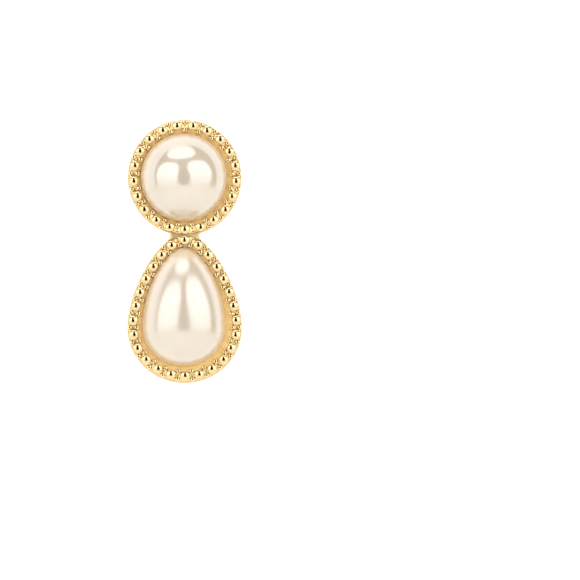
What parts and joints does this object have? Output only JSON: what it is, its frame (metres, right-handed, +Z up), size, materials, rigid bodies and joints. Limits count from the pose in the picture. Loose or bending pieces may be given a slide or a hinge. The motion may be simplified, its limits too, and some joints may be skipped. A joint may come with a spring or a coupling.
{
  "type": "pearl drop earring",
  "caption": "Ear stud with a round domed pearl above a teardrop pearl, both set in one cast gold-tone frame with beaded rims.",
  "frame": {"origin": "on the ear post's axis where the post leaves the setting's flat back face, level with the middle of the round pearl", "axes": "+X to the right seen from the front, +Y from the back face along the post to its tip, +Z up; the pearls face -Y"},
  "size_m": [0.0118, 0.0159, 0.0269],
  "materials": {
    "gold": "polished pale gold-tone plating",
    "pearl": "cream pearl lacquer with a soft lustre",
    "post": "gold-tone flash over steel"
  },
  "bodies": {
    "root": {"setting": "gold", "round_pearl": "pearl", "drop_pearl": "pearl", "ear_post": "post"}
  },
  "joints": []
}
